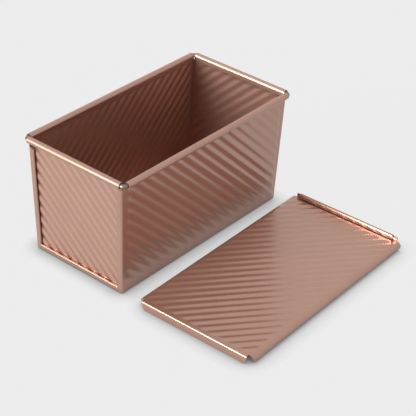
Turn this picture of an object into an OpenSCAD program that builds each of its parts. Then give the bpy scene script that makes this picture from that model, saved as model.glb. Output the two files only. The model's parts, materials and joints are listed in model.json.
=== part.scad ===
/* [Pan] */
// Length over the rolled rim
rim_l = 213; // [170:1:260]
// Width over the rolled rim
rim_w = 113.4; // [90:0.2:150]
// Height to the top of the rolled rim
pan_h = 109; // [80:1:140]
// Lean of each end, from the wire's height down to the base
end_taper = 4; // [3:0.2:7]
// Lean of each long side, from the wire's height down to the base
side_taper = 2.3; // [1:0.1:4]
// Outside radius of the bends between the walls and the floor
bend_r = 2; // [1.9:0.1:3]

/* [Sheet and wire] */
// Thickness of the steel sheet
sheet = 0.6; // [0.5:0.05:0.65]
// Diameter of the wire inside the rolled rim
wire_d = 3.6; // [2.6:0.1:4]
// Clearance between the wire and the roll around it
wire_gap = 0.5; // [0.1:0.05:0.6]
// Bend radius of the wire at each corner, to its middle
wire_bend = 2.6; // [2.4:0.1:4]
// Distance from the rim's corner to the cut end of each roll
roll_stop = 6.2; // [5:0.2:9]
// Gap between the wire and the walls that end below it
stub_gap = 1; // [0.5:0.1:2]

/* [Folded seams] */
// Width of the folded strip around each end
seam_w = 5.5; // [4.5:0.1:7]
// Gap between the folded strip and the end panel
seam_gap = 0.7; // [0.2:0.1:0.9]
// Clearance between two folded layers
fold_gap = 0.05; // [0.03:0.01:0.1]
// Distance from the rim's top to the strip's end, at its inner edge
strip_stop = 11; // [9:0.5:16]
// Distance from the rim's top to the strip's end, at the wall
strip_rise = 7; // [6:0.5:9]

/* [Ribs] */
// Distance from one rib to the next, square to the ribs
rib_pitch = 7.7; // [6.5:0.1:12]
// Slope of the pan's ribs
rib_angle = 43; // [30:1:60]
// Slope of the lid's ribs
lid_rib_angle = 41; // [30:1:60]
// Width of one rib
rib_w = 4.4; // [3:0.1:5]
// Height of one rib
rib_h = 0.6; // [0.3:0.05:0.6]
// Plain border between the ribs and each end of a long side
side_margin = 5; // [4.5:0.5:14]
// Plain border between the ribs and the base
base_margin = 5.5; // [5:0.5:14]
// Plain border between the ribs and the rim's top
rim_margin = 9; // [8:0.5:20]
// Plain border between the ribs and each side of an end panel, past the strip's edge
end_margin = 1; // [0.5:0.5:8]

// Plain border around the ribs on the floor
floor_margin = 9; // [7:0.5:14]

/* [Lid] */
// Clearance between the lid's curls and the rolled rim
lid_clear = 0.2; // [0.2:0.05:0.6]
// Length of the lid
lid_l = 211.3; // [165:0.1:260]
// Depth of the stop flange, from the lid's top
flange_h = 7.6; // [6.5:0.1:12]
// Outside radius of the lid's folds
fold_r = 1.2; // [1:0.1:2]
// Distance from the lid's sides to the ends of the flange and the lip
flange_inset = 4.8; // [4.4:0.1:9]
// Distance from the stop flange to the start of the curls
curl_start = 3.5; // [2:0.1:6]
// Angle that the curls wrap below the rim
curl_wrap = 115; // [95:1:118]
// Height of the lip above the lid's top
lip_h = 4.6; // [4.4:0.1:8]
// Depth of the lip's folded edge, front to back
lip_d = 3; // [2:0.1:4]
// Height of the flap that hangs from the lip's fold
lip_flap = 2.4; // [1:0.1:2.6]
// Distance from the lip's ends to the ends of its flap
lip_trim = 4; // [2:0.5:10]
// How far each side of the stop flange slants in towards its lower edge
flange_slant = 2.6; // [0:0.2:6]
// Distance from the lip to the ends of the curls
curl_stop = 1.5; // [1:0.1:6]
// Plain border between the ribs and the lid's ends
lid_end_margin = 4; // [3.5:0.5:14]
// Plain border between the ribs and the lid's sides
lid_side_margin = 5; // [4.5:0.5:14]

/* [Lid on the table] */
// Gap between the lid and the pan's rim
lid_gap = 11.9; // [8:0.1:60]
// Distance from the pan's end to the lid's end
lid_shift = 5.5; // [0:0.1:20]
// Turn of the lid on the table
lid_turn = 1.2; // [0:0.1:2]

/* [Hidden] */
$fn = 64;

pan_colour = "#c39c8b";
lid_colour = "#b08a78";
wire_colour = "#9a8a7e";

// Facets round the balls that shape the pan's bends
form_fn = 32;
// Set-in of a wall inside its roll, so that the two faces cross and don't just touch
tuck = 0.05;
// Angles where a roll starts on its wall and where its free edge ends
roll_from = 200;
roll_to = 230;

roll_d = wire_d + 2 * wire_gap + 2 * sheet;
roll_r = roll_d / 2;
wire_z = pan_h - roll_r;
roll_x = rim_l / 2 - roll_r;
roll_y = rim_w / 2 - roll_r;
long_roll = rim_l - 2 * roll_stop;
short_roll = rim_w - 2 * roll_stop;
stub_z = wire_z - wire_d / 2 - stub_gap;

fold_depth = 3 * sheet + 2 * fold_gap;
seam_h = fold_depth + seam_gap;
flange_w = seam_w - sheet - 6 * fold_gap;

end_slope = end_taper / wire_z;
side_slope = side_taper / wire_z;
end_tilt = atan(end_slope);
side_tilt = atan(side_slope);
end_top = rim_l / 2 - roll_d + sheet + seam_h + tuck;
side_top = rim_w / 2 - roll_d + sheet + tuck;
function end_at(z) = end_top - end_slope * (wire_z - z);
function side_at(z) = side_top - side_slope * (wire_z - z);

rib_r = (rib_w * rib_w / 4 + rib_h * rib_h) / (2 * rib_h);

curl_r = roll_r + lid_clear + sheet;
lid_w = rim_w + 2 * (lid_clear + sheet);
curl_z = flange_h - curl_r;
lip_z = flange_h + lip_h - lip_d / 2;

// A round bar from one point to another
module bar(a, b, r) {
    v = b - a;
    translate(a)
        rotate([0, acos(v.z / norm(v)), atan2(v.y, v.x)])
            cylinder(r = r, h = norm(v));
}

// A flat outline in Y and Z, drawn out along X
module along(x0, x1) {
    translate([x0, 0, 0]) rotate([90, 0, 90]) linear_extrude(x1 - x0) children();
}

// A flat outline in X and Z, drawn out along Y
module across(y0, y1) {
    translate([0, y1, 0]) rotate([90, 0, 0]) linear_extrude(y1 - y0) children();
}

// Section of a curled edge, open between two angles
module curl_section(r, open_from, open_to) {
    mid = (open_from + open_to) / 2;
    difference() {
        circle(r = r);
        circle(r = r - sheet);
        polygon([
            [0, 0],
            3 * r * [cos(open_from), sin(open_from)],
            15 * r * [cos(mid), sin(mid)],
            3 * r * [cos(open_to), sin(open_to)]
        ]);
    }
}

// Bars that lie slanting across a field of w by h, inside its border
module rib_bars(w, h, angle, r, trim = 0) {
    u = [cos(angle), sin(angle)];
    v = [-sin(angle), cos(angle)];
    half = [w / 2 - rib_w / 2, h / 2 - rib_w / 2];
    n = ceil((w * abs(v.x) + h * abs(v.y)) / 2 / rib_pitch);
    for (k = [-n : n]) {
        c = k * rib_pitch * v;
        sx = [(-half.x - c.x) / u.x, (half.x - c.x) / u.x];
        sy = [(-half.y - c.y) / u.y, (half.y - c.y) / u.y];
        lo = max(min(sx), min(sy)) + trim;
        hi = min(max(sx), max(sy)) - trim;
        if (hi - lo > rib_w / 2)
            bar([c.x + lo * u.x, c.y + lo * u.y, rib_h - rib_r],
                [c.x + hi * u.x, c.y + hi * u.y, rib_h - rib_r], r);
    }
}

// What a ribbed field adds on the raised side of a sheet
module rib_raise(w, h, angle) {
    intersection() {
        rib_bars(w, h, angle, rib_r);
        translate([-w / 2, -h / 2, -sheet / 2]) cube([w, h, sheet / 2 + 2 * rib_h]);
    }
}

// What it takes away on the hollow side
module rib_hollow(w, h, angle) {
    rib_bars(w, h, angle, rib_r - sheet, sheet);
}

// The pan's whole outside, set in by a distance
module pan_form(inset) {
    low = bend_r * cos(180 / form_fn);
    hull()
        for (z = [low, pan_h + bend_r], sx = [-1, 1], sy = [-1, 1])
            translate([
                sx * (end_at(z) - bend_r / cos(end_tilt)),
                sy * (side_at(z) - bend_r / cos(side_tilt)),
                z
            ]) sphere(r = bend_r - inset, $fn = form_fn);
}

// Plane of the near end's folded strip: X runs inwards, Z up the strip
module at_end() {
    translate([-end_at(0), 0, 0]) rotate([0, -end_tilt, 0]) children();
}

// A slice of the near end between two depths
module end_slice(d0, d1) {
    at_end() translate([d0, -rim_w, -pan_h]) cube([d1 - d0, 2 * rim_w, 3 * pan_h]);
}

// The opening that the folded strip leaves, from its edge inwards
module end_window(edge, d0, d1) {
    top = 2 * pan_h;
    at_end() along(d0, d1) polygon([
        [edge - side_at(edge), edge],
        [side_at(edge) - edge, edge],
        [side_at(top) - edge, top],
        [edge - side_at(top), top]
    ]);
}

// Everything above the slanting ends of the folded strip
module strip_roof(drop) {
    inner = side_at(pan_h) - seam_w;
    at_end() along(-2 * bend_r, fold_depth) polygon([
        [-rim_w, pan_h - strip_rise - drop],
        [-side_top, pan_h - strip_rise - drop],
        [-inner, pan_h - strip_stop - drop],
        [inner, pan_h - strip_stop - drop],
        [side_top, pan_h - strip_rise - drop],
        [rim_w, pan_h - strip_rise - drop],
        [rim_w, 2 * pan_h],
        [-rim_w, 2 * pan_h]
    ]);
}

// The trough's strip folded back under itself, with a wall along its inner edge
module hem() {
    difference() {
        union() {
            intersection() {
                pan_form(2 * sheet + 2 * fold_gap);
                end_slice(2 * sheet + 2 * fold_gap, fold_depth);
            }
            end_window(seam_w - sheet, -sheet, fold_depth);
        }
        end_window(seam_w, -bend_r, 2 * fold_depth);
        strip_roof(0);
    }
}

module side_frame(s) {
    rotate([0, 0, s < 0 ? 0 : 180])
        translate([0, -side_at(0), 0])
            rotate([90 + side_tilt, 0, 0])
                translate([0, (pan_h - rim_margin + base_margin) / 2, 0])
                    children();
}

module both_ends() {
    for (a = [0, 180]) rotate([0, 0, a]) children();
}

module trough() {
    side_rib_w = 2 * end_at(0) - 2 * side_margin;
    side_rib_h = pan_h - rim_margin - base_margin;
    floor_w = 2 * end_at(0) - 2 * floor_margin;
    floor_h = 2 * side_at(0) - 2 * floor_margin;
    floor_z = sheet * cos(180 / form_fn);
    color(pan_colour) difference() {
        union() {
            difference() {
                pan_form(0);
                difference() {
                    pan_form(sheet);
                    both_ends() hem();
                }
                translate([-rim_l, -rim_w, wire_z]) cube([2 * rim_l, 2 * rim_w, pan_h]);
                both_ends() {
                    translate([long_roll / 2, -rim_w, stub_z]) cube([rim_l, 2 * rim_w, pan_h]);
                    end_window(seam_w, -bend_r, 2 * fold_depth);
                    strip_roof(0);
                }
            }
            both_ends()
                along(-long_roll / 2, long_roll / 2)
                    translate([roll_y, wire_z]) curl_section(roll_r, roll_from, roll_to);
            for (s = [-1, 1])
                side_frame(s) rib_raise(side_rib_w, side_rib_h, -rib_angle);
            translate([0, 0, floor_z]) rib_raise(floor_w, floor_h, rib_angle);
        }
        for (s = [-1, 1])
            side_frame(s) rib_hollow(side_rib_w, side_rib_h, -rib_angle);
        translate([0, 0, floor_z]) rib_hollow(floor_w, floor_h, rib_angle);
    }
}

// An end of the pan, with its edges folded into the trough's strip
module end_panel() {
    skin = sheet + fold_gap;
    field_w = 2 * (side_at(0) - seam_w - end_margin);
    field_h = pan_h - rim_margin - seam_w - end_margin;
    color(pan_colour) difference() {
        union() {
            difference() {
                intersection() {
                    pan_form(skin);
                    end_slice(skin, seam_h + sheet);
                }
                intersection() {
                    pan_form(skin + sheet);
                    end_slice(skin + sheet, seam_h);
                }
                end_window(flange_w, 0, seam_h);
                strip_roof(sheet);
                translate([-rim_l, -rim_w, wire_z]) cube([2 * rim_l, 2 * rim_w, pan_h]);
                for (s = [-1, 1])
                    translate([-rim_l, s > 0 ? short_roll / 2 : -short_roll / 2 - rim_w, stub_z])
                        cube([2 * rim_l, rim_w, pan_h]);
            }
            across(-short_roll / 2, short_roll / 2)
                translate([-roll_x, wire_z]) mirror([1, 0])
                    curl_section(roll_r, roll_from, roll_to);
            end_field() rib_raise(field_w, field_h, -rib_angle);
        }
        end_field() rib_hollow(field_w, field_h, -rib_angle);
    }
}

module end_field() {
    at_end() translate([seam_h, 0, (pan_h - rim_margin + seam_w + end_margin) / 2])
        rotate([90, 0, -90]) children();
}

module end_panel_near() {
    end_panel();
}

module end_panel_far() {
    rotate([0, 0, 180]) end_panel();
}

module rim_wire() {
    r = wire_d / 2;
    cx = roll_x - wire_bend;
    cy = roll_y - wire_bend;
    color(wire_colour) translate([0, 0, wire_z])
        for (a = [0, 180]) rotate([0, 0, a]) {
            bar([-cx, roll_y, 0], [cx, roll_y, 0], r);
            bar([roll_x, -cy, 0], [roll_x, cy, 0], r);
            translate([cx, cy, 0])
                rotate_extrude(angle = 90) translate([wire_bend, 0]) circle(r = r);
            translate([-cx, cy, 0]) rotate([0, 0, 90])
                rotate_extrude(angle = 90) translate([wire_bend, 0]) circle(r = r);
        }
}

// One long edge of the lid, curled to run under the rolled rim
module lid_curl() {
    slant = 3;
    difference() {
        along(curl_start, lid_l - curl_stop)
            translate([curl_r, curl_z]) mirror([1, 0])
                curl_section(curl_r, 90, 360 - curl_wrap);
        translate([curl_start, -1, flange_h])
            rotate([0, atan(slant / flange_h), 0])
                translate([-lid_l, 0, -2 * flange_h]) cube([lid_l, lid_w, 4 * flange_h]);
    }
}

// The stop flange and the fold above it, with its sides cut slanting
module stop_flange() {
    low = flange_h - fold_r;
    difference() {
        across(flange_inset, lid_w - flange_inset) {
            difference() {
                translate([fold_r, low]) circle(r = fold_r);
                translate([fold_r, low]) circle(r = fold_r - sheet);
                translate([fold_r, 0]) square([2 * fold_r, 2 * flange_h]);
                translate([-fold_r, 0]) square([3 * fold_r, low]);
            }
            translate([fold_r, flange_h - sheet]) square([2 * fold_r, sheet]);
            square([sheet, low]);
        }
        for (side = [0, 1])
            translate([0, side * lid_w, 0]) mirror([0, side, 0])
                along(-fold_r, 2 * fold_r) polygon([
                    [flange_inset, low],
                    [flange_inset - fold_r, low],
                    [flange_inset - fold_r, -fold_r],
                    [flange_inset + flange_slant * flange_h / low, -fold_r]
                ]);
    }
}

// The lip at the other end, rolled over towards the lid
module lip() {
    base = flange_h - sheet;
    across(flange_inset, lid_w - flange_inset) {
        difference() {
            translate([lid_l - fold_r, base + fold_r]) circle(r = fold_r);
            translate([lid_l - fold_r, base + fold_r]) circle(r = fold_r - sheet);
            translate([lid_l - 3 * fold_r, base]) square([2 * fold_r, 2 * flange_h]);
            translate([lid_l - 3 * fold_r, base + fold_r]) square([6 * fold_r, flange_h]);
        }
        translate([lid_l - 3 * fold_r, base]) square([2 * fold_r, sheet]);
        translate([lid_l - sheet, base + fold_r]) square([sheet, lip_z - base - fold_r]);
    }
    across(flange_inset + lip_trim, lid_w - flange_inset - lip_trim) {
        translate([lid_l - lip_d / 2, lip_z]) difference() {
            circle(r = lip_d / 2);
            circle(r = lip_d / 2 - sheet);
            translate([-lip_d, -2 * lip_d]) square([2 * lip_d, 2 * lip_d]);
        }
        translate([lid_l - sheet, lip_z - lip_flap]) square([sheet, lip_flap]);
        translate([lid_l - lip_d, lip_z - lip_flap]) square([sheet, lip_flap]);
    }
}

module lid() {
    field_w = lid_l - 2 * lid_end_margin;
    field_h = lid_w - 2 * lid_side_margin;
    color(lid_colour)
        translate([-rim_l / 2 + lid_shift, -rim_w / 2 - lid_gap - lid_w, 0])
            rotate([0, 0, lid_turn]) difference() {
                union() {
                    difference() {
                        translate([fold_r, curl_r, flange_h - sheet])
                            cube([lid_l - 2 * fold_r, lid_w - 2 * curl_r, sheet]);
                        for (y = [0, lid_w - flange_inset], x = [-lid_l + curl_start, lid_l - curl_stop])
                            translate([x, y, 0]) cube([lid_l, flange_inset, 2 * flange_h]);
                    }
                    lid_curl();
                    translate([0, lid_w, 0]) mirror([0, 1, 0]) lid_curl();
                    stop_flange();
                    lip();
                    translate([lid_l / 2, lid_w / 2, flange_h])
                        rib_raise(field_w, field_h, -lid_rib_angle);
                }
                translate([lid_l / 2, lid_w / 2, flange_h])
                    rib_hollow(field_w, field_h, -lid_rib_angle);
            }
}

trough();
end_panel_near();
end_panel_far();
rim_wire();
lid();
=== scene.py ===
import math

import bmesh
import bpy
from mathutils import Matrix, Vector
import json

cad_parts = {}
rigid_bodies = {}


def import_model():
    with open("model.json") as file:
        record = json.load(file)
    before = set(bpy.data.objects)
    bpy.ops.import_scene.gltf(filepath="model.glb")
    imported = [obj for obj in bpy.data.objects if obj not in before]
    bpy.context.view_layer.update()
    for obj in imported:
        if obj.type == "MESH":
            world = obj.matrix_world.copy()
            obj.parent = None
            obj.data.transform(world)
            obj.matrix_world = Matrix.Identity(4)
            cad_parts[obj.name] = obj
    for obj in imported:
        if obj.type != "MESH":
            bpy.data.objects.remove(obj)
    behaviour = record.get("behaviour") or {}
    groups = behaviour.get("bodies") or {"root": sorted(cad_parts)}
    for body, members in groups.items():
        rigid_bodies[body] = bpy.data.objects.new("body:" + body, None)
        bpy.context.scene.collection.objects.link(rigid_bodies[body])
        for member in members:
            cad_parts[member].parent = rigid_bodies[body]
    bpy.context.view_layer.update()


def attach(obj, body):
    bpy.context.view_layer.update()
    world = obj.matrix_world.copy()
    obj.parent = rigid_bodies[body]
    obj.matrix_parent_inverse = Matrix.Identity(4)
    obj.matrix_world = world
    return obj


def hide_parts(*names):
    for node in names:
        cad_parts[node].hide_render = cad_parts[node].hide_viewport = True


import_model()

bl_info = {
    "name": "Lidded Loaf Pan",
    "version": (1, 0, 0),
    "blender": (4, 5, 0),
    "location": "3D View > Sidebar > Loaf Pan",
    "description": "Builds a deep ribbed loaf pan of folded sheet steel with its sliding lid",
    "category": "Object",
}

MM = 0.001

# How finely the sheets are drawn: steps in millimetres, turns in degrees
WALL_STEP = 1.25
STUB_STEP = 1.5
STRIP_STEP = 0.6
LAYER_STEP = 1.0
LID_STEP = 1.2
LIP_STEP = 0.8
ROLL_TURN = 12
CURL_TURN = 9
QUARTER = 7  # rows round a quarter bend
WING = 5  # points on each of an end panel's folded edges

ROLL_END = -130  # where a rolled rim's cut edge lies, in degrees round the wire
SHARP = 38  # edges that bend more than this are shaded sharp


# Properties

def length(name, description, value):
    return bpy.props.FloatProperty(
        name=name, description=description, default=value * MM,
        min=0.0, precision=5, subtype="DISTANCE", unit="LENGTH")


def angle(name, description, value):
    return bpy.props.FloatProperty(
        name=name, description=description, default=math.radians(value),
        subtype="ANGLE", unit="ROTATION")


def colour(name, description, value):
    return bpy.props.StringProperty(name=name, description=description, default=value)


class PanSizes(bpy.types.PropertyGroup):
    """Sizes of the pan"""

    rim_length: length("Rim length", "Length over the rolled rim", 213)
    rim_width: length("Rim width", "Width over the rolled rim", 113.4)
    height: length("Height", "Height to the top of the rolled rim", 109)
    end_taper: length("End taper", "Lean of each end from the wire's height to the base", 4)
    side_taper: length(
        "Side taper", "Lean of each long side from the wire's height to the base", 2.3)
    bend: length("Bend radius", "Outside radius of the bends between the walls and the floor", 2)
    sheet: length("Sheet", "Thickness of the steel sheet", 0.6)
    wire: length("Wire", "Diameter of the wire inside the rolled rim", 3.6)
    wire_gap: length("Wire gap", "Clearance between the wire and the roll around it", 0.5)
    roll_stop: length(
        "Roll stop", "Distance from the rim's corner to the cut end of each roll", 6.2)
    stub_gap: length("Stub gap", "Gap between the wire and the walls that end below it", 1)
    tuck: length("Tuck", "Set-in of a wall inside its roll", 0.05)


class SeamSizes(bpy.types.PropertyGroup):
    """Sizes of the folded strip around each end"""

    width: length("Width", "Width of the folded strip", 5.5)
    gap: length("Gap", "Gap between the folded strip and the end panel", 0.7)
    fold_gap: length("Fold gap", "Clearance between two folded layers", 0.05)
    stop: length("Stop", "Distance from the rim's top to the strip's end at its inner edge", 11)
    rise: length("Rise", "Distance from the rim's top to the strip's end at the wall", 7)


class RibSizes(bpy.types.PropertyGroup):
    """Sizes of the slanting ribs"""

    pitch: length("Pitch", "Distance from one rib to the next, square to the ribs", 7.7)
    height: length("Height", "Height of one rib", 0.85)
    end_height: length("End height", "Height of one rib on the ends", 0.65)
    lid_height: length("Lid height", "Height of one rib on the lid", 0.7)
    slope: angle("Slope", "Slope of the pan's ribs", 43)
    lid_slope: angle("Lid slope", "Slope of the lid's ribs", 41)
    fade: length("Fade", "Length over which a rib sinks into the plain sheet", 3)
    side_margin: length("Side margin", "Plain border at each end of a long side", 3)
    base_margin: length("Base margin", "Plain border above the base", 4)
    rim_margin: length("Rim margin", "Plain border below the rim", 5)
    wall_centre: length(
        "Wall centre", "Height of the middle rib at the middle of a long side", 52.75)
    end_centre: length("End centre", "Height of the middle rib at the middle of an end", 51)
    end_margin: length(
        "End overlap", "How far the ribs of an end run in under its folded strip", 1)
    floor_margin: length("Floor margin", "Plain border round the floor", 8)
    lid_margin: length("Lid margin", "Plain border round the lid's field", 2.5)


class LidSizes(bpy.types.PropertyGroup):
    """Sizes and place of the lid"""

    length: length("Length", "Length of the lid", 211.3)
    clearance: length("Clearance", "Clearance between the lid's curls and the rolled rim", 0.2)
    flange: length("Flange", "Depth of the stop flange from the lid's top", 7.6)
    fold: length("Fold", "Outside radius of the lid's folds", 1.2)
    inset: length(
        "Inset", "Distance from the lid's sides to the ends of the flange and the lip", 4.8)
    flange_slant: length(
        "Flange slant", "How far each side of the flange slants in towards its lower edge", 2.6)
    curl_start: length(
        "Curl start", "Distance from the stop flange to the start of the curls", 3.5)
    curl_slant: length("Curl slant", "How far the cut ends of the curls slant", 3)
    curl_stop: length("Curl stop", "Distance from the lip to the ends of the curls", 1.5)
    curl_wrap: angle("Curl wrap", "Angle that the curls wrap below the rim", 115)
    lip: length("Lip", "Height of the lip above the lid's top", 4.6)
    lip_depth: length("Lip depth", "Depth of the lip's folded edge, front to back", 3)
    lip_flap: length("Lip flap", "Height of the flap that hangs from the lip's fold", 2.4)
    lip_trim: length("Lip trim", "Distance from the lip's ends to the ends of its flap", 4)
    gap: length("Gap", "Gap between the lid and the pan's rim on the table", 11.9)
    shift: length("Shift", "Distance from the pan's end to the lid's end on the table", 5.5)
    turn: angle("Turn", "Turn of the lid on the table", 1.2)


class FinishColours(bpy.types.PropertyGroup):
    """Colours of the sheet, the wire and the table"""

    coating: colour("Coating", "Champagne non-stick coating, sRGB hex", "B28978")
    coating_worn: colour(
        "Coating rubbed", "Coating where handling has rubbed it, sRGB hex", "BA9281")
    wire: colour("Wire", "Drawn steel wire, sRGB hex", "8C7E74")
    table: colour("Table", "Table top and backdrop, sRGB hex", "EEEEEE")


class StageLight(bpy.types.PropertyGroup):
    """Light on the pan and its table"""

    lamp_strength: bpy.props.FloatProperty(
        name="Lamp strength", description="Strength of the lamp at the left, in W/m2",
        default=5.8, min=0.0)
    lamp_spread: angle("Lamp spread", "Angle that the lamp fills, seen from the pan", 28)
    room_strength: bpy.props.FloatProperty(
        name="Room strength", description="Strength of the even white light from all round",
        default=0.85, min=0.0)


class LoafPanSettings(bpy.types.PropertyGroup):
    """All the sizes, colours and light of the loaf pan"""

    pan: bpy.props.PointerProperty(type=PanSizes)
    seam: bpy.props.PointerProperty(type=SeamSizes)
    ribs: bpy.props.PointerProperty(type=RibSizes)
    lid: bpy.props.PointerProperty(type=LidSizes)
    finish: bpy.props.PointerProperty(type=FinishColours)
    light: bpy.props.PointerProperty(type=StageLight)


# Shapes

class Forms:
    """The sheet's sizes in millimetres, and what follows from them"""

    def __init__(self, settings):
        p, s, r = settings.pan, settings.seam, settings.ribs
        self.rim_l = p.rim_length / MM
        self.rim_w = p.rim_width / MM
        self.high = p.height / MM
        self.sheet = p.sheet / MM
        self.bend = p.bend / MM
        self.roll_r = (p.wire + 2 * p.wire_gap + 2 * p.sheet) / 2 / MM
        self.wire_z = self.high - self.roll_r
        self.roll_x = self.rim_l / 2 - self.roll_r
        self.roll_y = self.rim_w / 2 - self.roll_r
        self.long_half = (p.rim_length / 2 - p.roll_stop) / MM
        self.end_half = (p.rim_width / 2 - p.roll_stop) / MM
        self.stub_z = self.wire_z - (p.wire / 2 + p.stub_gap) / MM
        self.fold_gap = s.fold_gap / MM
        self.seam_w = s.width / MM
        self.fold = 3 * self.sheet + 2 * self.fold_gap
        self.seam_h = self.fold + s.gap / MM
        self.strip_low = self.high - s.stop / MM
        self.strip_top = self.high - s.rise / MM
        tuck = p.tuck / MM
        self.end_top = self.rim_l / 2 - 2 * self.roll_r + self.sheet + self.seam_h + tuck
        self.side_top = self.rim_w / 2 - 2 * self.roll_r + self.sheet + tuck
        self.end_slope = p.end_taper / MM / self.wire_z
        self.side_slope = p.side_taper / MM / self.wire_z
        self.pitch = r.pitch / MM
        self.rib_h = r.height / MM
        self.fade = r.fade / MM

    def end_at(self, z):
        """Distance from the middle to the outside of an end at a height"""
        return self.end_top - self.end_slope * (self.wire_z - z)

    def side_at(self, z):
        """Distance from the middle to the outside of a long side at a height"""
        return self.side_top - self.side_slope * (self.wire_z - z)

    def cut_at(self, z, drop=0.0):
        """How far in from the wall the folded strip reaches at a height"""
        low, top = self.strip_low - drop, self.strip_top - drop
        if z <= low:
            return None
        return max(0.0, self.seam_w * (top - z) / (top - low))


def smooth(x):
    """An even rise from 0 to 1 with soft ends"""
    x = min(1.0, max(0.0, x))
    return x * x * (3 - 2 * x)


def spread(a, b, step):
    """Even values from a to b, no further apart than step"""
    n = max(1, math.ceil(abs(b - a) / step))
    return [a + (b - a) * i / n for i in range(n + 1)]


def rib_field(f, low, high, slope, height=None, centre=None):
    """A function that gives the ribs' height over a flat field.

    The middle rib passes through the field's middle, or at the height given as centre."""
    across, along = math.sin(slope), math.cos(slope)
    mid = ((low[0] + high[0]) / 2, centre or (low[1] + high[1]) / 2)

    def rise(x, y):
        edge = 1.0
        for value, a, b in ((x, low[0], high[0]), (y, low[1], high[1])):
            edge *= smooth((value - a) / f.fade) * smooth((b - value) / f.fade)
        if edge <= 0:
            return 0.0
        turn = ((x - mid[0]) * across + (y - mid[1]) * along) / f.pitch
        wave = 0.5 + 0.5 * math.cos(2 * math.pi * turn)
        return (height or f.rib_h) * edge * wave

    return rise


def skin(name, rows):
    """A closed mesh from rows of points in millimetres, each row once round the sheet"""
    mesh = bpy.data.meshes.new(name)
    count = len(rows[0])
    points = [(x * MM, y * MM, z * MM) for row in rows for x, y, z in row]
    faces = []
    for i in range(len(rows) - 1):
        for j in range(count):
            k = (j + 1) % count
            faces.append((i * count + j, i * count + k, (i + 1) * count + k, (i + 1) * count + j))
    half = count // 2
    for base, flip in ((0, True), ((len(rows) - 1) * count, False)):
        for j in range(half - 1):
            quad = (base + j, base + j + 1, base + count - 2 - j, base + count - 1 - j)
            faces.append(quad[::-1] if flip else quad)
    mesh.from_pydata(points, [], faces)
    work = bmesh.new()
    work.from_mesh(mesh)
    same_point = 0.002 * MM
    bmesh.ops.remove_doubles(work, verts=work.verts, dist=same_point)
    bmesh.ops.dissolve_degenerate(work, dist=same_point, edges=work.edges)
    bmesh.ops.recalc_face_normals(work, faces=work.faces)
    for face in work.faces:
        face.smooth = True
    work.to_mesh(mesh)
    work.free()
    piece = bpy.data.objects.new(name, mesh)
    bpy.context.scene.collection.objects.link(piece)
    mesh.set_sharp_from_angle(angle=math.radians(SHARP))
    return piece


def near_fold(f):
    """The folded strip at one end, as depth, inset and side for both faces of the sheet.

    It runs from the layer folded back, round the hem and the outer layer, to the wall's bend."""
    t = f.sheet
    front, back = [], []
    mid = f.fold / 2
    edge = f.seam_w - mid
    cut_gap = 0.3  # the folded layer stops this far short of the wall's inside
    hem = 8  # steps round the hem
    for d in spread(2 * t + 2 * f.fold_gap + cut_gap, edge, LAYER_STEP)[:-1]:
        front.append((f.fold, d))
        back.append((f.fold - t, d))
    for i in range(hem + 1):
        a = math.pi / 2 - math.pi * i / hem
        front.append((mid + mid * math.sin(a), edge + mid * math.cos(a)))
        back.append((mid + (mid - t) * math.sin(a), edge + (mid - t) * math.cos(a)))
    for d in spread(edge, f.bend, 0.9)[1:-1]:
        front.append((0.0, d))
        back.append((t, d))
    for i in range(QUARTER + 1):
        a = math.pi / 2 * i / QUARTER
        front.append((f.bend - f.bend * math.cos(a), f.bend - f.bend * math.sin(a)))
        back.append((f.bend - (f.bend - t) * math.cos(a), f.bend - (f.bend - t) * math.sin(a)))
    return front, back


def trough_row(f, z, place, front, back, spans, state):
    """One row of the trough, from one end's fold to the other's and back inside.

    place turns a side (-1 or 1, None between them), a place along it and a depth into a point."""
    t = f.sheet
    cut = f.cut_at(z) if state == "wall" else None
    loop = []
    for face, wall, bow in ((front, 0.0, f.bend), (back, t, f.bend - t)):
        near = []
        for a, d in face:
            if state == "roll":
                near.append(None)
                continue
            if cut is not None:
                d = max(wall, min(d, cut))
                if d < f.bend:
                    a = max(a, f.bend - math.sqrt(max(0.0, bow * bow - (f.bend - d) ** 2)))
            near.append((a, d))
        loop.append([place(-1, e, wall) for e in near]
                    + [place(None, share, wall) for share in spans]
                    + [place(1, e, wall) for e in near[::-1]])
    return loop[0] + loop[1][::-1]


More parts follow.
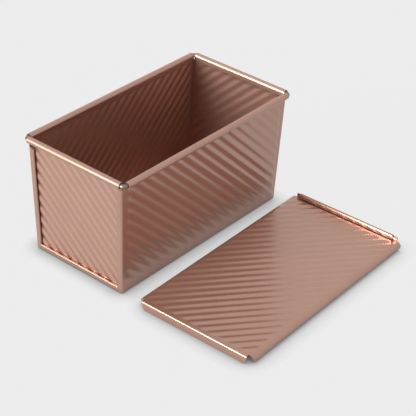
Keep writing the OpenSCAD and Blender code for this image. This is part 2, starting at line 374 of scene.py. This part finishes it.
def trough_rows(f, ribs):
    """Rows of the trough from one rolled rim, down, over the floor and up to the other"""
    t = f.sheet
    front, back = near_fold(f)
    slope = ribs.slope
    side_m, base_m, rim_m = ribs.side_margin / MM, ribs.base_margin / MM, ribs.rim_margin / MM
    floor_m = ribs.floor_margin / MM
    half = f.end_at(0)
    wall_rise = rib_field(f, (-half + side_m, base_m), (half - side_m, f.high - rim_m), slope,
                          centre=ribs.wall_centre / MM)
    floor_x, floor_y = half - floor_m, f.side_at(0) - floor_m
    floor_rise = rib_field(f, (-floor_x, -floor_y), (floor_x, floor_y), -slope)
    shares = spread(-1.0, 1.0, 1 / 80)[1:-1]
    rows = []

    def wall_point(s, z):
        def place(sign, e, wall):
            if sign is None:
                y, zz = f.side_at(z) - wall, z
                x = e * (f.end_at(z) - f.bend)
                y += wall_rise(-s * x, z)
                return (x, s * y, zz)
            a, d = e
            zz = max(z, d)
            return (sign * (f.end_at(zz) - a), s * (f.side_at(zz) - d), zz)
        return place

    def stub_point(s, z):
        def place(sign, e, wall):
            x = (e if sign is None else sign) * f.long_half
            return (x, s * (f.side_at(z) - wall), z)
        return place

    def roll_point(s, turn):
        def place(sign, e, wall):
            r = f.roll_r - (0.0 if wall else t)
            x = (e if sign is None else sign) * f.long_half
            return (x, s * (f.roll_y + r * math.cos(turn)), f.wire_z + r * math.sin(turn))
        return place

    def bend_point(s, turn):
        def place(sign, e, wall):
            d = wall if sign is None else e[1]
            r = max(0.0, f.bend - d)
            if d > f.bend:
                y, z = f.side_at(d) - d, d
            else:
                y = f.side_at(f.bend) - f.bend + r * math.cos(turn)
                z = f.bend - r * math.sin(turn)
            if sign is None:
                return (e * (f.end_at(f.bend) - f.bend), s * y, z)
            return (sign * (f.end_at(z) - e[0]), s * y, z)
        return place

    def floor_point(y):
        def place(sign, e, wall):
            if sign is None:
                x = e * (f.end_at(f.bend) - f.bend)
                return (x, y, wall + floor_rise(x, y))
            a, d = e
            reach = f.side_at(d) - max(d, f.bend)
            return (sign * (f.end_at(d) - a), max(-reach, min(reach, y)), d)
        return place

    for s in (-1, 1):
        part = []
        for turn in spread(ROLL_END, 180, ROLL_TURN):
            part.append(("roll", f.wire_z, roll_point(s, math.radians(turn))))
        for z in spread(f.wire_z, f.stub_z, STUB_STEP)[1:]:
            part.append(("roll", z, stub_point(s, z)))
        for z in spread(f.stub_z, f.strip_low, STRIP_STEP):
            part.append(("wall", z, wall_point(s, z)))
        part.append(("full", f.strip_low, wall_point(s, f.strip_low)))
        for z in spread(f.strip_low, f.bend, WALL_STEP)[1:]:
            part.append(("full", z, wall_point(s, z)))
        for i in range(1, QUARTER):
            part.append(("full", f.bend, bend_point(s, math.pi / 2 * i / QUARTER)))
        made = [trough_row(f, z, place, front, back, shares, state) for state, z, place in part]
        if s < 0:
            rows += made
            edge = f.side_at(f.bend) - f.bend
            for y in spread(-edge, edge, WALL_STEP):
                rows.append(trough_row(f, 0, floor_point(y), front, back, shares, "full"))
        else:
            rows += made[::-1]
    return rows


def end_rows(f, ribs, s):
    """Rows of an end panel, from the flange under its foot to its rolled rim"""
    t = f.sheet
    skin_in = t + f.fold_gap
    reach = f.seam_w - t - 6 * f.fold_gap
    under = ribs.end_margin / MM + f.fade
    half = f.side_at(0) - f.seam_w
    rise = rib_field(f, (-half - under, f.seam_w - under),
                     (half + under, f.high - ribs.rim_margin / MM),
                     ribs.slope, ribs.end_height / MM, ribs.end_centre / MM)
    shares = spread(-1.0, 1.0, 0.0235)

    def face_row(z, inside, width=None):
        """One face of the panel across its width.

        Its edges tuck into the trough's strips, or end plainly where a half width is given."""
        depth = f.seam_h + (t if inside else 0.0)
        inner = skin_in + (0.0 if inside else t)
        if width is None:
            cut = f.cut_at(z, t)
            wing = [(inner, d if cut is None else max(inner, min(d, cut)))
                    for d in (reach + (inner - reach) * i / (WING - 1) for i in range(WING))]
            edges = [(f.end_at(z) - a, f.side_at(z) - d) for a, d in wing]
            middle = f.side_at(z) - inner
        else:
            edges = [(f.end_at(z) - depth, width)] * WING
            middle = width
        row = [(x, -y, z) for x, y in edges]
        for share in shares:
            y = share * middle
            lift = rise(s * y, z) if width is None else 0.0
            row.append((f.end_at(z) - depth + lift, y, z))
        return row + [(x, y, z) for x, y in edges[::-1]]

    def across(half_width):
        """Places across a plain row, as many as a face has"""
        ends = [half_width] * WING
        return [-y for y in ends] + [share * half_width for share in shares] + ends

    def flat(a0, z0, a1, z1):
        """A plain row, given by the depth and height of both faces"""
        loop = [[(f.end_at(z) - a, y, z) for y in across(f.side_at(z) - skin_in - t)]
                for a, z in ((a0, z0), (a1, z1))]
        return loop[0] + loop[1][::-1]

    def rolled(turn):
        loop = [[(f.roll_x + r * math.cos(turn), y, f.wire_z + r * math.sin(turn))
                 for y in across(f.end_half)] for r in (f.roll_r - t, f.roll_r)]
        return loop[0] + loop[1][::-1]

    rows = []
    low, high = skin_in, skin_in + t
    for z in spread(reach, high, LAYER_STEP):
        rows.append(flat(high, z, low, z if z > high else low))
    # The foot's bend, from the flange up into the panel
    rows.append(flat(f.seam_h - 0.3, high, f.seam_h - 0.3, low))
    for z in [f.seam_h - 0.2] + spread(f.seam_h + 0.4, f.stub_z, WALL_STEP):
        rows.append(face_row(z, False) + face_row(z, True)[::-1])
    for z in spread(f.stub_z, f.wire_z, STUB_STEP):
        rows.append(face_row(z, False, f.end_half) + face_row(z, True, f.end_half)[::-1])
    for turn in spread(180, ROLL_END, ROLL_TURN):
        rows.append(rolled(math.radians(turn)))
    return [[(s * x, y, z) for x, y, z in row] for row in rows]


def lid_rows(f, lid, ribs):
    """Rows of the lid, from the stop flange's lower edge to the rolled edge of the lip"""
    t = f.sheet
    top = lid.flange / MM
    long = lid.length / MM
    gap = lid.clearance / MM
    wide = f.rim_w + 2 * (gap + t)
    curl = f.roll_r + gap + t
    fold, inset = lid.fold / MM, lid.inset / MM
    start, stop = lid.curl_start / MM, long - lid.curl_stop / MM
    slant = lid.curl_slant / MM
    margin = ribs.lid_margin / MM
    rise = rib_field(f, (margin + 1, margin), (long - lid.lip_depth / MM - 1, wide - margin),
                     ribs.lid_slope, ribs.lid_height / MM)
    wrap = math.degrees(lid.curl_wrap)
    hook = spread(-180 + wrap, -180, CURL_TURN) + spread(180, 90, CURL_TURN)[1:]
    plate = spread(curl, wide - curl, 1.15)[1:-1]

    def section(under):
        r = curl - (t if under else 0.0)
        points = []
        for turn in hook:
            a = math.radians(turn)
            points.append((curl + r * math.cos(a), top - curl + r * math.sin(a)))
        level = top - (t if under else 0.0)
        middle = [(y, level) for y in plate]
        other = [(wide - y, z) for y, z in points[::-1]]
        return points + middle + other

    def full(x):
        loop = []
        for under in (False, True):
            side = []
            for y, z in section(under):
                lift = rise(x, y)
                begin = start + slant * (top - z) / top
                side.append((max(x, begin) if x < start + slant else x, y, z + lift))
            loop.append(side)
        return loop[0] + loop[1][::-1]

    def narrow(places, trim=0.0):
        """A row whose width stops short of the curls, at a place for each face"""
        loop = []
        for under, (x, z) in enumerate(places):
            side = []
            for y, _ in section(bool(under)):
                y = max(inset + trim, min(wide - inset - trim, y))
                lift = rise(x, y) if fold < x < long - fold and z <= top else 0.0
                side.append((x, y, z + lift))
            loop.append(side)
        return loop[0] + loop[1][::-1]

    def bent(x, z, radii, turn, trim=0.0):
        """A narrow row at one turn of a fold, given by its centre and its faces' radii"""
        return narrow([(x + r * math.cos(turn), z + r * math.sin(turn)) for r in radii], trim)

    rows = []
    # The stop flange and the fold above it
    slope_in = lid.flange_slant / MM
    for z in spread(0.0, top - fold, LIP_STEP):
        rows.append(narrow([(0.0, z), (t, z)], slope_in * (1 - z / (top - fold)) ** 1.5))
    for i in range(1, QUARTER):
        turn = math.pi - math.pi / 2 * i / QUARTER
        rows.append(bent(fold, top - fold, (fold, fold - t), turn))
    # The plate, plain up to the curls and then with them
    for x in spread(fold, start, LID_STEP):
        rows.append(narrow([(x, top), (x, top - t)]))
    for x in spread(start, stop, LID_STEP):
        rows.append(full(x))
    rows.append(narrow([(stop, top), (stop, top - t)]))
    # The lip: its fold, its stem, the half ring at its top and the flap that hangs from that
    base = top - t + fold
    for i in range(QUARTER + 1):
        turn = -math.pi / 2 + math.pi / 2 * i / QUARTER
        rows.append(bent(long - fold, base, (fold - t, fold), turn))
    bow = lid.lip_depth / MM / 2
    lip_z = top + lid.lip / MM - bow
    for z in spread(base, lip_z, LAYER_STEP)[1:]:
        rows.append(narrow([(long - t, z), (long, z)]))
    trim = lid.lip_trim / MM
    ring = 10
    for i in range(ring + 1):
        rows.append(bent(long - bow, lip_z, (bow - t, bow), math.pi * i / ring, trim))
    for z in spread(lip_z, lip_z - lid.lip_flap / MM, LIP_STEP)[1:]:
        rows.append(narrow([(long - 2 * bow + t, z), (long - 2 * bow, z)], trim))
    turn = lid.turn
    corner = (-f.rim_l / 2 + lid.shift / MM, -f.rim_w / 2 - lid.gap / MM - wide)
    return [[(corner[0] + x * math.cos(turn) - y * math.sin(turn),
              corner[1] + x * math.sin(turn) + y * math.cos(turn), z) for x, y, z in row]
            for row in rows]


# Materials

def linear(hex_colour):
    """An sRGB hex colour as linear values"""
    parts = [int(hex_colour[i:i + 2], 16) / 255 for i in (0, 2, 4)]
    return [c / 12.92 if c <= 0.04045 else ((c + 0.055) / 1.055) ** 2.4 for c in parts] + [1.0]


def scale_of(size):
    """The noise scale whose grains are a size in millimetres across"""
    return 1 / (size * MM)


def add_node(material, kind, settings=None, links=None):
    """Adds a node, sets its settings and sockets, and links its sockets to others"""
    tree = material.node_tree
    node = tree.nodes.new(kind)
    for key, value in (settings or {}).items():
        if isinstance(key, int) or key in node.inputs:
            node.inputs[key].default_value = value
        else:
            setattr(node, key, value)
    for key, source in (links or {}).items():
        tree.links.new(source, node.inputs[key])
    return node


def new_material(name):
    """A new material, its shader and its links"""
    material = bpy.data.materials.new(name)
    material.use_nodes = True
    shader = material.node_tree.nodes["Principled BSDF"]
    return material, shader, material.node_tree.links


def champagne_coating(finish):
    """Silicone non-stick coating with metal flake, sprayed on steel sheet and baked.

    The flake gives a satin metallic sheen with a pink-gold tint, and the clear film over it a
    weak neutral gloss. The coat is slightly uneven, so its tone and gloss vary in patches."""
    material, shader, links = new_material("champagne non-stick coating on steel")
    shader.inputs["Metallic"].default_value = 0.87
    shader.inputs["Coat Weight"].default_value = 0.5
    shader.inputs["Coat Roughness"].default_value = 0.25
    place = add_node(material, "ShaderNodeTexCoord")
    # Patches of thicker and thinner coat, about 30 mm across
    cloud = add_node(
        material, "ShaderNodeTexNoise",
        {"Scale": scale_of(30.3), "Detail": 3.0, "Roughness": 0.5},
        {"Vector": place.outputs["Object"]})
    colour_a, colour_b, colour_out = 6, 7, 2  # the mix node's colour sockets
    tone = add_node(
        material, "ShaderNodeMix",
        {"data_type": "RGBA", colour_a: linear(finish.coating),
         colour_b: linear(finish.coating_worn)},
        {"Factor": cloud.outputs["Fac"]})
    links.new(tone.outputs[colour_out], shader.inputs["Base Color"])
    gloss = add_node(
        material, "ShaderNodeMapRange", {"To Min": 0.32, "To Max": 0.36},
        {"Value": cloud.outputs["Fac"]})
    links.new(gloss.outputs["Result"], shader.inputs["Roughness"])
    # The flakes are 0.02 to 0.05 mm across; they are drawn 0.4 mm across so that they show
    flake = add_node(
        material, "ShaderNodeTexNoise", {"Scale": scale_of(0.4), "Detail": 1.0},
        {"Vector": place.outputs["Object"]})
    bump = add_node(
        material, "ShaderNodeBump", {"Strength": 0.06, "Distance": 0.1 * MM},
        {"Height": flake.outputs["Fac"]})
    links.new(bump.outputs["Normal"], shader.inputs["Normal"])
    return material


def drawn_wire(finish):
    """Bare drawn steel wire with fine die lines along it, dull from the oven"""
    material, shader, links = new_material("drawn steel wire")
    shader.inputs["Metallic"].default_value = 1.0
    shader.inputs["Base Color"].default_value = linear(finish.wire)
    place = add_node(material, "ShaderNodeTexCoord")
    # Die lines and oven film are under 0.1 mm; they are drawn 1.1 mm across so that they show
    lines = add_node(
        material, "ShaderNodeTexNoise", {"Scale": scale_of(1.111), "Detail": 2.0},
        {"Vector": place.outputs["Object"]})
    gloss = add_node(
        material, "ShaderNodeMapRange", {"To Min": 0.3, "To Max": 0.5},
        {"Value": lines.outputs["Fac"]})
    links.new(gloss.outputs["Result"], shader.inputs["Roughness"])
    return material


def table_top(finish):
    """Matt melamine laminate, pressed: pale and plain, with painted shade that darkens it close
    under the pan.

    What is seen directly shows mostly the plain pale colour and a faint shadow. Reflections
    show more of the shadow, and light that the table scatters on the pan stays dim."""
    seen_share, shone_share = 0.97, 0.75
    material, shader, links = new_material("matt pale laminate")
    shader.inputs["Base Color"].default_value = (0.3, 0.3, 0.3, 1.0)
    shader.inputs["Roughness"].default_value = 0.9
    shader.inputs["Specular IOR Level"].default_value = 0.0
    path = add_node(material, "ShaderNodeLightPath")
    seen = add_node(
        material, "ShaderNodeMath", {"operation": "MAXIMUM"},
        {0: path.outputs["Is Camera Ray"], 1: path.outputs["Is Transmission Ray"]})
    plainly = add_node(
        material, "ShaderNodeMath", {"operation": "MULTIPLY", 1: seen_share},
        {0: seen.outputs[0]})
    shone = add_node(
        material, "ShaderNodeMath", {"operation": "MULTIPLY", 1: shone_share},
        {0: path.outputs["Is Glossy Ray"]})
    share = add_node(
        material, "ShaderNodeMath", {"operation": "MAXIMUM"},
        {0: plainly.outputs[0], 1: shone.outputs[0]})
    # Painted shade: ambient occlusion darkens the plain colour within about 15 mm of an edge that
    # stands on the table
    corner = add_node(
        material, "ShaderNodeAmbientOcclusion",
        {"samples": 8, "Color": linear(finish.table), "Distance": 15 * MM})
    plain = add_node(
        material, "ShaderNodeEmission", {"Strength": 1.0}, {"Color": corner.outputs["Color"]})
    blend = add_node(
        material, "ShaderNodeMixShader", {},
        {0: share.outputs[0], 1: shader.outputs[0], 2: plain.outputs[0]})
    surface = material.node_tree.nodes["Material Output"].inputs["Surface"]
    links.new(blend.outputs[0], surface)
    return material


def dress(piece, material):
    """Gives a piece its only material"""
    piece.data.materials.clear()
    piece.data.materials.append(material)


# Operators

class LOAFPAN_OT_trough(bpy.types.Operator):
    """Folds the bottom and both long sides of the pan from one sheet"""

    bl_idname = "loafpan.trough"
    bl_label = "Trough"

    def execute(self, context):
        settings = context.scene.loaf_pan
        f = Forms(settings)
        piece = skin("trough_sheet", trough_rows(f, settings.ribs))
        dress(piece, coating_of(settings))
        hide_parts("trough")
        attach(piece, "pan")
        return {"FINISHED"}


class LOAFPAN_OT_ends(bpy.types.Operator):
    """Makes both end panels, which the trough's strips hold"""

    bl_idname = "loafpan.ends"
    bl_label = "End Panels"

    def execute(self, context):
        settings = context.scene.loaf_pan
        f = Forms(settings)
        ends = (("near_end_sheet", "end_panel_near", -1), ("far_end_sheet", "end_panel_far", 1))
        for name, node, s in ends:
            piece = skin(name, end_rows(f, settings.ribs, s))
            dress(piece, coating_of(settings))
            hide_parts(node)
            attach(piece, "pan")
        return {"FINISHED"}


class LOAFPAN_OT_wire(bpy.types.Operator):
    """Gives the rim's wire its finish"""

    bl_idname = "loafpan.wire"
    bl_label = "Rim Wire"

    def execute(self, context):
        wire = drawn_wire(context.scene.loaf_pan.finish)
        for obj in bpy.data.objects:
            if obj.type == "MESH" and "rim_wire" in obj.name:
                dress(obj, wire)
                for face in obj.data.polygons:
                    face.use_smooth = True
        return {"FINISHED"}


class LOAFPAN_OT_lid(bpy.types.Operator):
    """Folds and curls the sliding lid"""

    bl_idname = "loafpan.lid"
    bl_label = "Lid"

    def execute(self, context):
        settings = context.scene.loaf_pan
        piece = skin("lid_sheet", lid_rows(Forms(settings), settings.lid, settings.ribs))
        dress(piece, coating_of(settings))
        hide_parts("lid")
        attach(piece, "lid")
        return {"FINISHED"}


def coating_of(settings):
    """The coating that all the sheet shares, made once"""
    found = bpy.data.materials.get("champagne non-stick coating on steel")
    return found or champagne_coating(settings.finish)


class LOAFPAN_OT_stage(bpy.types.Operator):
    """Sets up the table, the light and the camera"""

    bl_idname = "loafpan.stage"
    bl_label = "Stage"

    def execute(self, context):
        scene = context.scene
        scene.view_settings.view_transform = "Standard"
        table(scene, scene.loaf_pan.finish)
        studio_light(scene, scene.loaf_pan.light)
        camera(scene)
        return {"FINISHED"}


def table(scene, finish):
    """A square table top that runs past the picture's edges"""
    half = 6.0
    corners = [(-half, -half, 0), (half, -half, 0), (half, half, 0), (-half, half, 0)]
    mesh = bpy.data.meshes.new("table")
    mesh.from_pydata(corners, [], [(0, 1, 2, 3)])
    top = bpy.data.objects.new("table", mesh)
    scene.collection.objects.link(top)
    dress(top, table_top(finish))


def studio_light(scene, light):
    """Even light from all round, and a studio lamp low on the left with a soft shadow edge"""
    world = bpy.data.worlds.new("studio")
    scene.world = world
    world.use_nodes = True
    back = world.node_tree.nodes["Background"]
    back.inputs["Color"].default_value = (1, 1, 1, 1)
    back.inputs["Strength"].default_value = light.room_strength

    data = bpy.data.lights.new("lamp left", "SUN")
    data.energy = light.lamp_strength
    data.angle = light.lamp_spread
    lamp = bpy.data.objects.new("lamp left", data)
    lamp.location = (-3.4, 1.0, 1.15)
    lamp.rotation_euler = (-lamp.location).to_track_quat("-Z", "Y").to_euler()
    scene.collection.objects.link(lamp)


def camera(scene):
    """A long lens above the near end's corner, turned and tilted as the photograph's was"""
    yaw, pitch, roll = math.radians(38.81), math.radians(-32.98), math.radians(2.56)
    stand = Vector((-0.7751, -0.6771, 0.6840))
    focal_pixels, frame_pixels, sensor = 1415.2, 416, 36.0
    level = math.cos(pitch)
    ahead = Vector((level * math.cos(yaw), level * math.sin(yaw), math.sin(pitch)))
    right = ahead.cross(Vector((0, 0, 1))).normalized()
    up = right.cross(ahead)
    across = right * math.cos(roll) + up * math.sin(roll)
    upward = up * math.cos(roll) - right * math.sin(roll)
    data = bpy.data.cameras.new("camera")
    data.sensor_width = sensor
    data.lens = focal_pixels / frame_pixels * sensor
    data.clip_start = 0.01
    view = bpy.data.objects.new("camera", data)
    view.matrix_world = Matrix((
        (across.x, upward.x, -ahead.x, stand.x),
        (across.y, upward.y, -ahead.y, stand.y),
        (across.z, upward.z, -ahead.z, stand.z),
        (0, 0, 0, 1)))
    scene.collection.objects.link(view)
    scene.camera = view


class LOAFPAN_PT_panel(bpy.types.Panel):
    """Lists the pieces of the loaf pan"""

    bl_idname = "LOAFPAN_PT_panel"
    bl_label = "Loaf Pan"
    bl_space_type = "VIEW_3D"
    bl_region_type = "UI"
    bl_category = "Loaf Pan"

    def draw(self, context):
        for group in ("pan", "seam", "ribs", "lid", "finish", "light"):
            box = self.layout.box()
            box.label(text=group.capitalize())
            sizes = getattr(context.scene.loaf_pan, group)
            for key in sizes.__annotations__:
                box.prop(sizes, key)
        for operator in OPERATORS:
            self.layout.operator(operator.bl_idname)


OPERATORS = (
    LOAFPAN_OT_trough,
    LOAFPAN_OT_ends,
    LOAFPAN_OT_wire,
    LOAFPAN_OT_lid,
    LOAFPAN_OT_stage,
)
CLASSES = (
    PanSizes, SeamSizes, RibSizes, LidSizes, FinishColours, StageLight, LoafPanSettings,
    *OPERATORS, LOAFPAN_PT_panel,
)


def register():
    for cls in CLASSES:
        bpy.utils.register_class(cls)
    bpy.types.Scene.loaf_pan = bpy.props.PointerProperty(type=LoafPanSettings)


def unregister():
    del bpy.types.Scene.loaf_pan
    for cls in reversed(CLASSES):
        bpy.utils.unregister_class(cls)


def main():
    register()
    bpy.ops.loafpan.trough()
    bpy.ops.loafpan.ends()
    bpy.ops.loafpan.wire()
    bpy.ops.loafpan.lid()
    bpy.ops.loafpan.stage()


if __name__ == "__main__":
    main()
